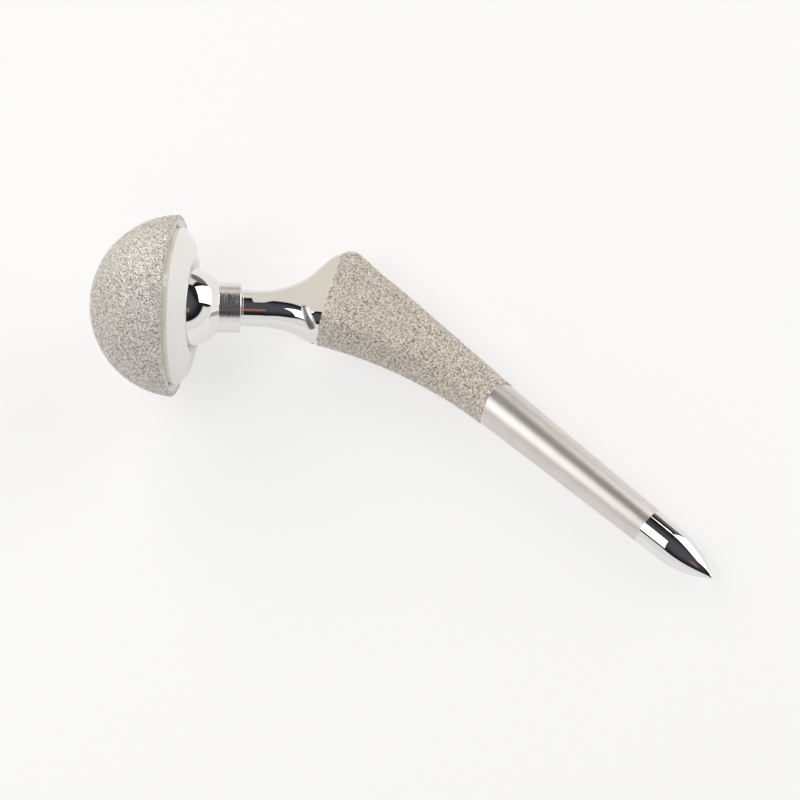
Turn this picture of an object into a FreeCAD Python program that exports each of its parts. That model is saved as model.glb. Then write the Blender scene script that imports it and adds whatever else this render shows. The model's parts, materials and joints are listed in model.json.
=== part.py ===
"""Modular hip prosthesis, laid on its side as it comes to rest on a table.

Femoral stem, femoral head, bearing liner, acetabular shell and the plug of
the shell's dome hole. Millimetres.

The stem is drawn in its own frame first: the origin is where the neck axis
crosses the shaft axis, +X runs down the shaft to the tip, +Y is lateral and
+Z is the front face. The head, liner and shell are turned about their own
axes, with the head centre as their origin. At the end the whole assembly is
laid down on the three places where it touches the table.
"""
import FreeCAD, Part
import math
import os

Vector = FreeCAD.Vector

# Bearing
head_dia = 28.0             # polished ball
bearing_gap = 0.15          # radial play between ball and liner
neck_shaft_angle = 135.0    # degrees
neck_length = 68.4          # ball centre to the crossing of the two axes

# Taper lock between neck and head
taper_angle = 5.67          # degrees, included
taper_large_dia = 14.0
taper_length = 13.8
taper_base = 17.0           # ball centre to the large end
taper_gap = 0.05            # between the cones, so that they are two solids
taper_lead = 0.6            # chamfer at the small end
taper_relief = 0.3          # chamfer behind the large end
taper_collar_dia = 13.4
taper_collar_end = 19.3

# Head behind the ball
ball_cut = 8.2              # ball centre to the plane that ends the ball
skirt_dia = 17.7
skirt_start = 11.0
skirt_end = 18.8
skirt_edge = 0.35           # chamfers of the skirt and of its bore
bore_floor_gap = 1.0        # free height above the taper's small end

# Neck
neck_dia = 12.9
neck_flat_depth = 0.35      # front and back flats milled into the round neck
neck_flat_start = 22.0      # ball centre to the run-out of the flats
neck_flat_runout = 7.5      # radius of the run-out
flare_start = 27.0          # ball centre to where the neck begins to widen
flare_lateral_radius = 22.0
flare_medial_radius = 27.0
flare_end = 43.0
flare_corner = 5.4          # corner radius of the widening section
flare_steps = 4             # sections along the widening part
flare_turn = 4.0            # degrees, turn of its last section towards the body
flare_swell = 1.3           # above 1 the thickness grows late
neck_overlap = 0.8          # how far the neck runs on into the body, so that they fuse

# Coated body
coat_thickness = 0.35
body_thickness = 17.2       # front to back, over the coat
body_end_dia = 17.0         # round section at the distal end of the coat
body_end = 55.4             # axis crossing to the distal end of the coat
lateral_width = 10.9        # shaft axis to the lateral side at the shoulder
shoulder_top = -25.3        # axis crossing to the proximal face
shoulder_radius = 4.5
calcar_top = -7.4           # axis crossing to the medial end of the coat
calcar_radius = 129.0       # long medial curve
body_corner = 5.0           # corner radius of the section at the shoulder
body_end_corner = 8.0       # and at the distal end of the coat
coat_end_rise = 1.6         # the coat ends higher on the front and back
side_angle = 20.0           # degrees, where a corner arc meets a side arc
loft_degree = 3             # of the smooth skins through the sections
corner_steps = ((0, 0.0), (45, 0.02), (90, 0.05))   # degrees on the corner, share down the medial side
side_steps = (0.1, 0.24, 0.45, 0.66, 0.84, 1.0)     # shares down both sides

# Grooves for the extractor, front and back
groove_radius = 1.6
groove_high = (40.2, -4.2, 9.0)     # along the neck, across it, towards the front
groove_low = (44.3, -13.4, 4.6)

# Threaded hole for the inserter, on the shaft axis
inserter_dia = 6.8
inserter_depth = 16.0
inserter_sink = 1.2         # depth of the conical lead-in
drill_point = 118.0         # degrees, cone at the bottom

# Shaft
shaft_dia = 16.5
shaft_tip_dia = 12.6
ogive_start = 134.0         # axis crossing to where the tip begins to close
ogive_radius = 32.0
nose_radius = 0.7

# Cup, along its axis from the ball centre, positive out of the mouth
shell_dia = 64.5
shell_center = -2.1
shell_rim = -3.8
shell_wall = 4.3
rim_edge = 0.4
liner_gap = 0.1             # between liner and shell
liner_step = -2.2           # end of the straight side above the rim
liner_bevel_dia = 49.2
liner_bevel_top = 0.5
liner_face_dia = 33.2
liner_face_top = 2.6
liner_mouth = 1.0           # end of the cylindrical part of the socket
notch_count = 12
notch_dia = 5.2
notch_circle = 53.8         # diameter through the notch centres
notch_depth = 3.0
notch_phase = -10.0         # degrees
tab_count = 3               # liner tabs, each in one of the notches
tab_gap = 0.1

# Dome hole and its plug
dome_hole_dia = 10.0
dome_plug_gap = 0.05
plug_hex = 4.0              # across flats
plug_hex_depth = 2.4
plug_flange_dia = 12.0
plug_flange = 0.8

# How the cup sits on the ball at rest, measured from the neck axis
cup_tilt = 10.3             # degrees between the cup axis and the neck axis
cup_roll = 133.7            # degrees about the neck axis, from lateral to front

# Numbers of the method
mesh_step = 0.02            # how finely the lowest points are looked for
settle_rounds = 40          # most rounds of laying the assembly down
same_point = 1e-7

X_AXIS = Vector(1, 0, 0)
Y_AXIS = Vector(0, 1, 0)
Z_AXIS = Vector(0, 0, 1)
ORIGIN = Vector(0, 0, 0)

lean = math.radians(180.0 - neck_shaft_angle)
neck_axis = Vector(math.cos(lean), math.sin(lean), 0)
neck_across = Vector(-math.sin(lean), math.cos(lean), 0)
head_center = neck_axis * -neck_length
half_thickness = body_thickness / 2


def on_neck(along, across=0.0, front=0.0):
    """A point given by its distances from the ball centre in the neck's frame."""
    return head_center + neck_axis * along + neck_across * across + Z_AXIS * front


def turned(profile):
    """Solid of revolution about X from a closed list of (x, r) corners and arcs.

    An item is a corner, or a pair of corners: the middle and the end of an arc.
    """
    edges = []
    here = Vector(profile[0][0], profile[0][1], 0)
    for item in profile[1:] + profile[:1]:
        if isinstance(item[0], tuple):
            middle, end = (Vector(x, r, 0) for x, r in item)
            edges.append(Part.Arc(here, middle, end).toShape())
        else:
            end = Vector(item[0], item[1], 0)
            if here.distanceToPoint(end) > same_point:
                edges.append(Part.LineSegment(here, end).toShape())
        here = end
    face = Part.Face(Part.Wire(edges))
    return face.revolve(ORIGIN, X_AXIS, 360)


def place_on_neck(shape):
    """Moves a part turned about X onto the neck axis, ball centre at its origin."""
    turn = FreeCAD.Rotation(X_AXIS, neck_axis)
    shape.Placement = FreeCAD.Placement(head_center, turn)
    return shape


def on_circle(x_center, radius, x):
    """Height of a circle about (x_center, 0) at x."""
    return math.sqrt(radius ** 2 - (x - x_center) ** 2)


def section(start, end, half_thick, corner):
    """Rounded section between its medial end and its lateral end.

    Flat front and back, a corner arc of the given radius at each corner, and a
    larger arc along each side, tangent to the corners. With a corner radius of
    half the thickness and as wide as it is thick, it is a circle.
    """
    across = (end - start).normalize()
    middle = (start + end) * 0.5
    half_width = (end - start).Length / 2
    split = math.radians(side_angle)
    rise = half_thick - corner
    side_radius = corner + rise / math.sin(split)
    corner_y = half_width - side_radius + rise / math.tan(split)
    halfway = (math.pi / 2 + split) / 2

    def point(y, z):
        return middle + across * y + Z_AXIS * z

    def arc_point(angle):
        return corner_y + corner * math.cos(angle), rise + corner * math.sin(angle)

    flat_y, flat_z = arc_point(math.pi / 2)
    bend_y, bend_z = arc_point(halfway)
    join_y, join_z = arc_point(split)
    edges = []
    for side in (1, -1):
        edges.append(Part.LineSegment(point(-side * flat_y, side * flat_z),
                                      point(side * flat_y, side * flat_z)).toShape())
        edges.append(Part.Arc(point(side * flat_y, side * flat_z),
                              point(side * bend_y, side * bend_z),
                              point(side * join_y, side * join_z)).toShape())
        edges.append(Part.Arc(point(side * join_y, side * join_z),
                              point(side * half_width, 0),
                              point(side * join_y, -side * join_z)).toShape())
        edges.append(Part.Arc(point(side * join_y, -side * join_z),
                              point(side * bend_y, -side * bend_z),
                              point(side * flat_y, -side * flat_z)).toShape())
    return Part.Wire(edges)


def flatted_circle(along, radius, half_thick):
    """The round neck with its two flats, split like the other sections."""
    split = math.radians(side_angle)
    top = math.asin(half_thick / radius)
    edges = []

    def point(angle):
        return on_neck(along, radius * math.cos(angle), radius * math.sin(angle))

    for turn in (0, math.pi):
        edges.append(Part.LineSegment(point(turn + math.pi - top), point(turn + top)).toShape())
        for first, last in ((top, split), (split, -split), (-split, -top)):
            edges.append(Part.Arc(point(turn + first), point(turn + (first + last) / 2),
                                  point(turn + last)).toShape())
    return Part.Wire(edges)


def medial_side(x):
    """Long curve of the medial side, tangent to the shaft at the coat's end."""
    drop = calcar_radius - on_circle(body_end, calcar_radius, x)
    return Vector(x, -(body_end_dia / 2 + drop), 0)


def lateral_side(x):
    """Straight lateral side, from below the shoulder corner to the coat's end."""
    top = shoulder_top + shoulder_radius
    share = (x - top) / (body_end - top)
    return Vector(x, lateral_width + share * (body_end_dia / 2 - lateral_width), 0)


def shoulder_corner(angle):
    """Point on the shoulder's corner arc: 0 degrees is the proximal face."""
    a = math.radians(angle)
    center = Vector(shoulder_top + shoulder_radius, lateral_width - shoulder_radius, 0)
    return center + Vector(-math.cos(a), math.sin(a), 0) * shoulder_radius


def coated_body():
    """Body under the porous coat, from the cut below the neck to the round shaft."""
    top = shoulder_top + shoulder_radius
    length = body_end - top
    medial_length = body_end - calcar_top
    ends = []
    for angle, share in corner_steps:
        ends.append((medial_side(calcar_top + share * medial_length), shoulder_corner(angle)))
    for share in side_steps:
        ends.append((medial_side(calcar_top + share * medial_length), lateral_side(top + share * length)))
    wires = []
    for medial, lateral in ends:
        share = max(0.0, (lateral.x - top) / length)
        corner = body_corner + (body_end_corner - body_corner) * share ** 2
        wires.append(section(medial, lateral, half_thickness, corner))
    body = Part.makeLoft(wires, True, False, False, loft_degree)
    return trim_coat_end(body)


def trim_coat_end(body):
    """Takes the coat's end back along an arc, seen from the side."""
    reach = (half_thickness ** 2 + coat_end_rise ** 2) / (2 * coat_end_rise)
    width = 2 * body_end_dia
    block = Part.makeBox(4 * coat_end_rise, width, body_thickness * 1.2)
    block.translate(Vector(body_end - 2 * coat_end_rise, -width / 2, -0.6 * body_thickness))
    kept = Part.makeCylinder(reach, width, Vector(body_end - reach, -width / 2, 0), Y_AXIS)
    return body.cut(block.cut(kept))


def neck():
    """Round neck with its flats, then the part that widens to meet the body."""
    radius = neck_dia / 2
    half_flat = radius - neck_flat_depth
    rod = place_on_neck(turned([
        (taper_base - taper_length, 0),
        (taper_base - taper_length, taper_small_radius() - taper_lead),
        (taper_base - taper_length + taper_lead, taper_radius(taper_base - taper_length + taper_lead)),
        (taper_base, taper_large_dia / 2),
        (taper_base + taper_relief, taper_collar_dia / 2),
        (taper_collar_end, taper_collar_dia / 2),
        (taper_collar_end + (taper_collar_dia - neck_dia) / 2, radius),
        (flare_start, radius),
        (flare_start, 0)]))
    for front in (1, -1):
        rod = rod.cut(flat_cutter(front, half_flat))
    wires = [flatted_circle(flare_start, radius, half_flat)]
    swell = half_thickness - coat_thickness - half_flat
    for i in range(1, flare_steps + 1):
        along = flare_start + (flare_end - flare_start) * i / flare_steps
        lateral = radius + flare_lateral_radius - on_circle(flare_start, flare_lateral_radius, along)
        medial = radius + flare_medial_radius - on_circle(flare_start, flare_medial_radius, along)
        thick = half_flat + swell * (i / (flare_steps + 1)) ** flare_swell
        turn = math.radians(flare_turn) * max(0, 2 * i / flare_steps - 1)
        across = neck_across * math.cos(turn) + neck_axis * math.sin(turn)
        middle = on_neck(along)
        wires.append(section(middle - across * medial, middle + across * lateral, thick, flare_corner))
    medial = medial_side(calcar_top)
    lateral = shoulder_corner(0)
    inset = (lateral - medial).normalize() * coat_thickness
    inward = Vector(lateral.y - medial.y, medial.x - lateral.x, 0).normalize()
    for depth in (0, neck_overlap):
        start = medial + inset + inward * depth
        end = lateral - inset + inward * depth
        wires.append(section(start, end, half_thickness - coat_thickness, body_corner - coat_thickness))
    return rod.fuse(Part.makeLoft(wires, True, False, False, loft_degree))


def taper_radius(along, gap=0.0):
    """Radius of the taper lock at a distance from the ball centre."""
    slope = math.tan(math.radians(taper_angle / 2))
    return taper_large_dia / 2 + gap - (taper_base - along) * slope


def taper_small_radius():
    return taper_radius(taper_base - taper_length)


def flat_cutter(front, half_flat):
    """Block that mills one flat, with a round run-out towards the head."""
    width = 2 * neck_dia
    near = neck_flat_start
    run = near + neck_flat_runout
    far = run + flare_start - near
    base = half_flat if front > 0 else -half_flat - neck_dia
    corners = [Vector(run, width / 2, base), Vector(far, width / 2, base),
               Vector(far, -width / 2, base), Vector(run, -width / 2, base)]
    edges = [Part.LineSegment(a, b).toShape() for a, b in zip(corners, corners[1:])]
    edges.append(Part.Arc(corners[-1], Vector(near, 0, base), corners[0]).toShape())
    return place_on_neck(Part.Face(Part.Wire(edges)).extrude(Z_AXIS * neck_dia))


def shaft():
    """Tapered shaft that starts inside the body and closes in a pointed tip."""
    start = body_end - 3 * coat_end_rise
    tip_radius = shaft_tip_dia / 2
    slope = (shaft_dia - shaft_tip_dia) / 2 / (ogive_start - body_end)
    rise = tip_radius - nose_radius
    length = math.sqrt(ogive_radius ** 2 - (ogive_radius - rise) ** 2)
    middle = length / 2
    middle_radius = tip_radius - (ogive_radius - math.sqrt(ogive_radius ** 2 - middle ** 2))
    nose_x = ogive_start + length
    diagonal = nose_radius * math.sqrt(0.5)
    return turned([
        (start, 0),
        (start, shaft_dia / 2 + slope * (body_end - start)),
        (ogive_start, tip_radius),
        ((ogive_start + middle, middle_radius), (nose_x, nose_radius)),
        ((nose_x + diagonal, diagonal), (nose_x + nose_radius, 0))])


def extractor_groove(front):
    """Straight round groove over the medial corner of the widening neck."""
    high = on_neck(groove_high[0], groove_high[1], front * groove_high[2])
    low = on_neck(groove_low[0], groove_low[1], front * groove_low[2])
    run = low - high
    return Part.makeCylinder(groove_radius, 2 * run.Length, high - run * 0.5, run)


def inserter_hole():
    """Blind hole on the shaft axis, open on the proximal face, with a lead-in."""
    outside = shoulder_top - inserter_sink
    bottom = shoulder_top + inserter_depth
    radius = inserter_dia / 2
    return turned([
        (outside, 0),
        (outside, radius + 2 * inserter_sink),
        (shoulder_top + inserter_sink, radius),
        (bottom, radius),
        (bottom + radius / math.tan(math.radians(drill_point / 2)), 0)])


def femoral_stem():
    solid = coated_body().fuse([neck(), shaft()])
    for front in (1, -1):
        solid = solid.cut(extractor_groove(front))
    return solid.cut(inserter_hole()).removeSplitter()


def femoral_head():
    """Ball with a skirt, bored for the taper lock."""
    radius = head_dia / 2
    cut_radius = on_circle(0, radius, ball_cut)
    bore_end = taper_base - taper_length - bore_floor_gap
    skirt = skirt_dia / 2
    mouth = taper_radius(skirt_end, taper_gap)
    outer_angle = math.atan2(cut_radius, ball_cut)
    half_angle = (math.pi + outer_angle) / 2
    solid = turned([
        (-radius, 0),
        ((radius * math.cos(half_angle), radius * math.sin(half_angle)), (ball_cut, cut_radius)),
        (skirt_start, skirt),
        (skirt_end - skirt_edge, skirt),
        (skirt_end, skirt - skirt_edge),
        (skirt_end, mouth + skirt_edge),
        (skirt_end - skirt_edge, mouth),
        (bore_end, taper_radius(bore_end, taper_gap)),
        (bore_end, 0)])
    return place_on_neck(solid)


def notch_places(count):
    step = 360.0 / count
    for i in range(count):
        angle = math.radians(notch_phase + i * step)
        yield Vector(0, math.cos(angle), math.sin(angle)) * (notch_circle / 2)


def dome_bore(radius):
    """Cylinder along the cup axis through the dome of the shell."""
    outside = shell_center - shell_dia / 2
    return Part.makeCylinder(radius, 3 * shell_wall, Vector(outside - shell_wall, 0, 0), X_AXIS)


def acetabular_shell():
    """Metal cup, a little less than a half sphere, with a notched inner rim."""
    outer = shell_dia / 2
    inner = outer - shell_wall
    rim_outer = on_circle(shell_center, outer, shell_rim)
    rim_inner = on_circle(shell_center, inner, shell_rim)
    root_half = math.sqrt(0.5)
    solid = turned([
        (shell_center - outer, 0),
        ((shell_center - outer * root_half, outer * root_half), (shell_rim - rim_edge, rim_outer)),
        (shell_rim, rim_outer - rim_edge),
        (shell_rim, rim_inner),
        ((shell_center - inner * root_half, inner * root_half), (shell_center - inner, 0))])
    for place in notch_places(notch_count):
        base = Vector(shell_rim - notch_depth, 0, 0) + place
        solid = solid.cut(Part.makeCylinder(notch_dia / 2, 2 * notch_depth, base, X_AXIS))
    seat = shell_center - inner
    solid = solid.cut(dome_bore(dome_hole_dia / 2))
    flange_seat = Part.makeCylinder(plug_flange_dia / 2 + dome_plug_gap, 2 * shell_wall,
                                    Vector(seat - plug_flange, 0, 0), X_AXIS)
    return solid.cut(flange_seat)


def dome_plug():
    """Plug screwed into the dome hole from inside, flush with the dome."""
    outer = shell_dia / 2 - coat_thickness
    inside = shell_center - (shell_dia / 2 - shell_wall)
    radius = dome_hole_dia / 2 - dome_plug_gap
    body = Part.makeCylinder(radius, 2 * shell_wall, Vector(inside - 2 * shell_wall, 0, 0), X_AXIS)
    flange = Part.makeCylinder(plug_flange_dia / 2, plug_flange,
                               Vector(inside - plug_flange, 0, 0), X_AXIS)
    dome = Part.makeSphere(outer, Vector(shell_center, 0, 0))
    corner_radius = plug_hex / math.sqrt(3)
    corners = []
    for i in range(7):
        angle = math.radians(60 * i)
        corners.append(Vector(inside, corner_radius * math.cos(angle), corner_radius * math.sin(angle)))
    hexagon = Part.Face(Part.makePolygon(corners)).extrude(X_AXIS * -plug_hex_depth)
    return body.common(dome).fuse(flange).cut(hexagon).removeSplitter()


def acetabular_liner():
    """Bearing liner: a thick cup with a raised, bevelled face around the socket."""
    outer = shell_dia / 2 - shell_wall - liner_gap
    side = on_circle(shell_center, outer, shell_rim)
    socket = head_dia / 2 + bearing_gap
    root_half = math.sqrt(0.5)
    solid = turned([
        (shell_center - outer, 0),
        ((shell_center - outer * root_half, outer * root_half), (shell_rim, side)),
        (liner_step, side),
        (liner_bevel_top, liner_bevel_dia / 2),
        (liner_face_top, liner_face_dia / 2),
        (liner_mouth, socket),
        (0, socket),
        ((-socket * root_half, socket * root_half), (-socket, 0))])
    for place in notch_places(tab_count):
        base = Vector(shell_rim - notch_depth + tab_gap, 0, 0) + place
        tab = Part.makeCylinder(notch_dia / 2 - tab_gap, notch_depth - tab_gap, base, X_AXIS)
        hollow = Part.makeSphere((socket + outer) / 2)
        solid = solid.fuse(tab.cut(hollow))
    return solid.removeSplitter()


def cup_axis():
    tilt = math.radians(cup_tilt)
    roll = math.radians(cup_roll)
    sideways = neck_across * math.cos(roll) + Z_AXIS * math.sin(roll)
    return neck_axis * math.cos(tilt) + sideways * math.sin(tilt)


def swing_axis():
    """Axis through the ball centre about which a positive turn tilts the cup further."""
    return neck_axis.cross(cup_axis()).normalize()


def place_cup(shape):
    """Turns a cup piece from the neck axis to where it sits at rest."""
    on_the_neck = FreeCAD.Rotation(X_AXIS, neck_axis)
    swing = FreeCAD.Rotation(swing_axis(), cup_tilt)
    shape.Placement = FreeCAD.Placement(head_center, swing.multiply(on_the_neck))
    return shape


def points_of(shape):
    return shape.tessellate(mesh_step)[0]


def lowest(points, up):
    return min(points, key=lambda p: p.dot(up))


def resting_place(pieces):
    """Placement that lays the assembly on the cup, the shoulder and the tip."""
    stem_points = points_of(pieces["femoral_stem"])
    body_middle = (shoulder_top + body_end) / 2
    groups = [points_of(pieces["acetabular_shell"]),
              [p for p in stem_points if p.x < body_middle],
              [p for p in stem_points if p.x > ogive_start]]
    up = Z_AXIS
    for attempt in range(settle_rounds):
        cup, shoulder, tip = (lowest(points, up) for points in groups)
        normal = (shoulder - cup).cross(tip - cup).normalize()
        if normal.z < 0:
            normal = normal * -1
        if normal.distanceToPoint(up) < same_point:
            break
        up = normal
    length = groups[2][0] - head_center
    forward = (length - up * length.dot(up)).normalize()
    sideways = up.cross(forward)
    matrix = FreeCAD.Matrix(forward.x, forward.y, forward.z, 0,
                            sideways.x, sideways.y, sideways.z, 0,
                            up.x, up.y, up.z, 0,
                            0, 0, 0, 1)
    turn = FreeCAD.Placement(matrix)
    corners = [turn.multVec(p) for piece in pieces.values() for p in points_of(piece)]
    low = [min(c[i] for c in corners) for i in range(3)]
    high = [max(c[i] for c in corners) for i in range(3)]
    to_origin = Vector(-(low[0] + high[0]) / 2, -(low[1] + high[1]) / 2, -low[2])
    return FreeCAD.Placement(to_origin, FreeCAD.Rotation()).multiply(turn)


def show(name, vector):
    print(f"{name}: {vector.x:.5f} {vector.y:.5f} {vector.z:.5f}")


def main():
    pieces = {
        "femoral_stem": femoral_stem(),
        "femoral_head": femoral_head(),
        "acetabular_liner": place_cup(acetabular_liner()),
        "acetabular_shell": place_cup(acetabular_shell()),
        "dome_plug": place_cup(dome_plug()),
    }
    rest = resting_place(pieces)
    os.makedirs("parts", exist_ok=True)
    for name, shape in pieces.items():
        laid = shape.copy()
        laid.Placement = rest.multiply(shape.Placement)
        laid.exportStep(f"parts/{name}.step")
        print(f"{name}: {len(laid.Solids)} solid, valid {laid.isValid()}, volume {laid.Volume:.1f}")
    show("head centre", rest.multVec(head_center))
    show("inserter mouth", rest.multVec(Vector(shoulder_top, 0, 0)))
    show("neck axis", rest.Rotation.multVec(neck_axis))
    show("shaft axis", rest.Rotation.multVec(X_AXIS))
    show("cup axis", rest.Rotation.multVec(cup_axis()))
    show("swing axis", rest.Rotation.multVec(swing_axis()))


main()
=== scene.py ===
"""Looks of a modular hip prosthesis that lies on a pale studio floor.

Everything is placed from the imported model: the ball centre and the neck axis
come from its joints and the shaft axis from its mount. Lengths below are in
millimetres, in the stem's own frame: the origin is where the neck axis
crosses the shaft axis, +X runs down the shaft, +Y is lateral, +Z is the front.
The turned pieces are drawn along their axis from the ball centre.
"""
import json
import math
import bpy
import numpy as np
from mathutils import Matrix, Vector


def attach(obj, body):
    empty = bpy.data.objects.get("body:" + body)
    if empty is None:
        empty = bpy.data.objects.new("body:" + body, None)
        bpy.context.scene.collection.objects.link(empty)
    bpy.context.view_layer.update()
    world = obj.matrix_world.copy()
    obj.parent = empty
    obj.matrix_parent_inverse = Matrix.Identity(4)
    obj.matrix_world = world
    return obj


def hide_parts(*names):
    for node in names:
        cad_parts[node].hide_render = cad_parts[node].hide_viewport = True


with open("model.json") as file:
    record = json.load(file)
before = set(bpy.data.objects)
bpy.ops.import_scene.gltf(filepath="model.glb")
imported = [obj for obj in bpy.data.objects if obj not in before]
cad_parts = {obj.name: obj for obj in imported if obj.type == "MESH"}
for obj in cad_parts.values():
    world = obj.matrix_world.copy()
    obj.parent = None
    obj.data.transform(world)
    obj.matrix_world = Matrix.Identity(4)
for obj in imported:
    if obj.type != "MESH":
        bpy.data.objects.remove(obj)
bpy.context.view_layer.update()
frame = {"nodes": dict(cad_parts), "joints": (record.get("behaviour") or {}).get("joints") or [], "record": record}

MM = 0.001

# Sizes of the model, the same as in its solids
neck_length = 68.4
neck_dia = 12.9
neck_flat_depth = 0.35
neck_flat_start = 22.0
neck_flat_runout = 7.5
taper_angle = 5.67
taper_large_dia = 14.0
taper_length = 13.8
taper_base = 17.0
taper_lead = 0.6
taper_relief = 0.3
taper_gap = 0.05
taper_collar_dia = 13.4
taper_collar_end = 19.3
flare_start = 27.0
flare_end = 43.0
flare_lateral_radius = 22.0
flare_medial_radius = 27.0
flare_corner = 5.4
flare_steps = 4
flare_turn = 4.0
flare_swell = 1.3
neck_overlap = 0.8
coat_thickness = 0.35
body_thickness = 17.2
body_end_dia = 17.0
body_end = 55.4
lateral_width = 10.9
shoulder_top = -25.3
shoulder_radius = 4.5
calcar_top = -7.4
calcar_radius = 129.0
body_corner = 5.0
body_end_corner = 8.0
coat_end_rise = 1.6
side_angle = 20.0
corner_steps = ((0, 0.0), (45, 0.02), (90, 0.05))
side_steps = (0.1, 0.24, 0.45, 0.66, 0.84, 1.0)
groove_radius = 1.6
groove_high = (40.2, -4.2, 9.0)
groove_low = (44.3, -13.4, 4.6)
inserter_dia = 6.8
inserter_depth = 16.0
inserter_sink = 1.2
shaft_dia = 16.5
shaft_tip_dia = 12.6
ogive_start = 134.0
ogive_radius = 32.0
nose_radius = 0.7
head_dia = 28.0
ball_cut = 8.2
skirt_dia = 17.7
skirt_start = 11.0
skirt_end = 18.8
skirt_edge = 0.35
bore_floor_gap = 1.0
bearing_gap = 0.15
shell_dia = 64.5
shell_center = -2.1
shell_rim = -3.8
shell_wall = 4.3
rim_edge = 0.4
liner_gap = 0.1
liner_step = -2.2
liner_bevel_dia = 49.2
liner_bevel_top = 0.5
liner_face_dia = 33.2
liner_face_top = 2.6
liner_mouth = 1.0
notch_count = 12
notch_dia = 5.2
notch_circle = 53.8
notch_depth = 3.0
notch_phase = -10.0
tab_count = 3
tab_gap = 0.1
dome_hole_dia = 10.0
plug_flange_dia = 12.0
plug_flange = 0.8
dome_plug_gap = 0.05
cup_tilt = 10.3

# Sizes that only the looks have
satin_start = 45.0          # where the polished metal turns satin, hidden under the coat
polish_start = 124.6        # where the satin shaft turns into the mirror polished tip
thread_depth = 0.6          # of the thread in the inserter hole
thread_pitch = 1.25
coat_depth = 0.42           # deepest pits of the porous coat
grain_size = 0.78           # coarse grains of the coat
fine_grain_size = 0.6
shell_grain_share = 0.78    # the shell's grains are this much smaller
rim_cover = 2.0             # width of the rim that the shell's coat reaches over
core_depth = 1.0            # of the stem's metal under the coat
body_coat_wall = 1.3        # of the coat piece on the stem, most of it inside the metal
shell_coat_wall = 0.9       # and of the one on the shell
shell_metal_depth = 0.5     # of the shell's metal under the coat
liner_corner = 12.0         # rounding between the slopes of the liner's face
edge_round = 0.3            # small rounded edges of head, shell and liner
shell_edge_round = 0.12
liner_edge_round = 0.35


def unit(v):
    """Vector of length one."""
    v = np.asarray(v, float)
    return v / np.linalg.norm(v)


# Frames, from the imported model
joints = {j["name"]: j for j in frame["joints"]}
mounts = {m["name"]: m for m in frame["record"]["mounts"]}
ball_center = np.array(joints["ball_turn"]["pos_m"])
neck_dir = unit(joints["ball_turn"]["axis"])
swing_dir = unit(joints["ball_swing"]["axis"])
shaft_dir = -unit(mounts["inserter_thread"]["axis"])
front_dir = unit(np.cross(shaft_dir, neck_dir))
lateral_dir = np.cross(front_dir, shaft_dir)
stem_axes = np.array([shaft_dir, lateral_dir, front_dir])
crossing = ball_center + neck_dir * neck_length * MM

half_thickness = body_thickness / 2
neck_axis = np.array([math.sqrt(0.5), math.sqrt(0.5), 0.0])
neck_across = np.array([-math.sqrt(0.5), math.sqrt(0.5), 0.0])
front = np.array([0.0, 0.0, 1.0])


def from_stem(points):
    """Stem frame in millimetres to the row frame in metres."""
    return crossing + MM * np.asarray(points, float) @ stem_axes


def turned_frame(axes):
    """Conversion from millimetres along the given axes at the ball centre to the row frame."""
    def convert(points):
        return ball_center + MM * np.asarray(points, float) @ axes
    return convert


neck_axes = np.array([neck_axis, neck_across, front]) @ stem_axes
swing = np.array(Matrix.Rotation(math.radians(cup_tilt), 3, Vector(swing_dir)))
from_neck = turned_frame(neck_axes)
from_cup = turned_frame(neck_axes @ swing.T)


# Meshes

def make_piece(name, points, quads, materials, slots=None, sharp=35.0):
    """Mesh object from points in the row frame, shaded smooth but at sharp edges."""
    mesh = bpy.data.meshes.new(name)
    mesh.from_pydata(np.asarray(points).tolist(), [], quads)
    for material in materials:
        mesh.materials.append(material)
    mesh.polygons.foreach_set("use_smooth", [True] * len(mesh.polygons))
    if slots is not None:
        mesh.polygons.foreach_set("material_index", np.asarray(slots, np.int32))
    mesh.validate()
    mesh.set_sharp_from_angle(angle=math.radians(sharp))
    mesh.update()
    piece = bpy.data.objects.new(name, mesh)
    bpy.context.scene.collection.objects.link(piece)
    return piece


def tube_quads(rows, count, closed):
    """Quads between rows of a grid that closes round; closed joins the last row to the first."""
    quads = []
    last = rows if closed else rows - 1
    for i in range(last):
        a = i * count
        b = (i + 1) % rows * count
        for j in range(count):
            k = (j + 1) % count
            quads.append((a + j, a + k, b + k, b + j))
    return quads


def tube(rings):
    """Points and faces of a closed skin over rings; each end is closed by a fan."""
    rings = np.asarray(rings)
    rows, count = rings.shape[:2]
    points = rings.reshape(-1, 3)
    quads = tube_quads(rows, count, False)
    points = np.vstack([points, rings[0].mean(0), rings[-1].mean(0)])
    first = rows * count
    for j in range(count):
        k = (j + 1) % count
        quads.append((first, k, j))
        quads.append((first + 1, first - count + j, first - count + k))
    return points, quads


def circle_ring(x, radius, count):
    """Circle of points about X. The radius may differ from point to point."""
    angles = 2 * math.pi * np.arange(count) / count
    return np.column_stack([np.full(count, x), radius * np.cos(angles), radius * np.sin(angles)])


def turned(name, profile, convert, materials, count=256, slot_of=None, sharp=35.0):
    """Piece turned about X from a closed list of (x, r), both ends on the axis or neither."""
    on_axis = profile[0][1] == 0
    inner = profile[1:-1] if on_axis else profile
    rings = [circle_ring(x, r, count) for x, r in inner]
    if on_axis:
        points, quads = tube(rings)
        points[-2] = (profile[0][0], 0, 0)
        points[-1] = (profile[-1][0], 0, 0)
    else:
        points = np.asarray(rings).reshape(-1, 3)
        quads = tube_quads(len(rings), count, True)
    slots = None
    if slot_of is not None:
        slots = [slot_of(points[list(q)].mean(0)) for q in quads]
    return make_piece(name, convert(points), quads, materials, slots, sharp)


def arc(center, radius, start, end, steps):
    """Profile points on a circle about (center, 0), angles in degrees from +X."""
    turn = np.radians(np.linspace(start, end, steps + 1))
    return [(center + radius * math.cos(a), radius * math.sin(a)) for a in turn]


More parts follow.
